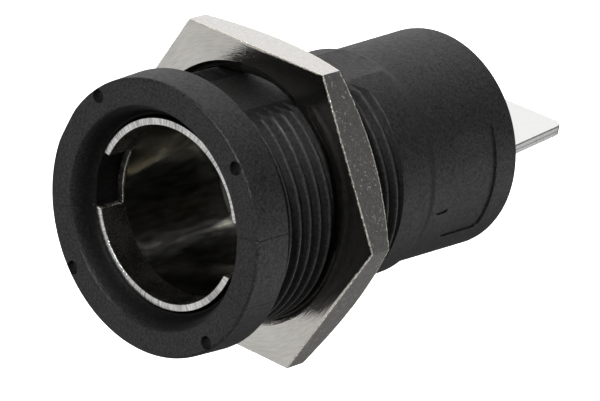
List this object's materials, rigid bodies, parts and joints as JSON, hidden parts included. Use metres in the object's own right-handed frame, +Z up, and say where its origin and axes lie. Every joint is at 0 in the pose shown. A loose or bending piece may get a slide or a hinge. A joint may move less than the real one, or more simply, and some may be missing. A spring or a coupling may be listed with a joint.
{
  "type": "cartridge fuse holder",
  "caption": "Panel-mounting cartridge fuse holder with a threaded black body, hex nut, bayonet contact sleeve and rear blade terminals.",
  "frame": {"origin": "on the body axis, in the plane where the flange seats on the panel", "axes": "+Y from the socket to the terminals along the body axis, +Z up with the thread flats above and below, +X to the right as seen from the socket"},
  "size_m": [0.0254, 0.0399, 0.0226],
  "materials": {
    "black_thermoset": "fine moulded grain",
    "nut_nickel": "nickel plated, drawn and turned",
    "sleeve_nickel": "bright nickel plated",
    "tinned_metal": "tinned sheet",
    "brass": "turned",
    "spring_steel": "drawn wire",
    "liner_plastic": "moulded"
  },
  "bodies": {
    "body": {"housing": "black_thermoset", "contact_sleeve": "sleeve_nickel", "sleeve_terminal": "tinned_metal", "sleeve_rivet_top": "brass", "sleeve_rivet_bottom": "brass", "guide_liner": "liner_plastic", "contact_spring": "spring_steel", "spring_cup": "brass", "rear_terminal": "tinned_metal"},
    "nut": {"hex_nut": "nut_nickel"},
    "end_contact": {"end_contact": "brass"}
  },
  "joints": [
    {"name": "nut_travel", "type": "slide", "parent": "body", "child": "nut", "axis": [0, 1, 0], "range_m": [-0.005, 0.004]},
    {"name": "end_contact_travel", "type": "slide", "parent": "body", "child": "end_contact", "axis": [0, 1, 0], "range_m": [0, 0.0015], "stiffness_N_per_m": 2000, "springref_m": -0.002, "deforming": ["contact_spring"]}
  ]
}
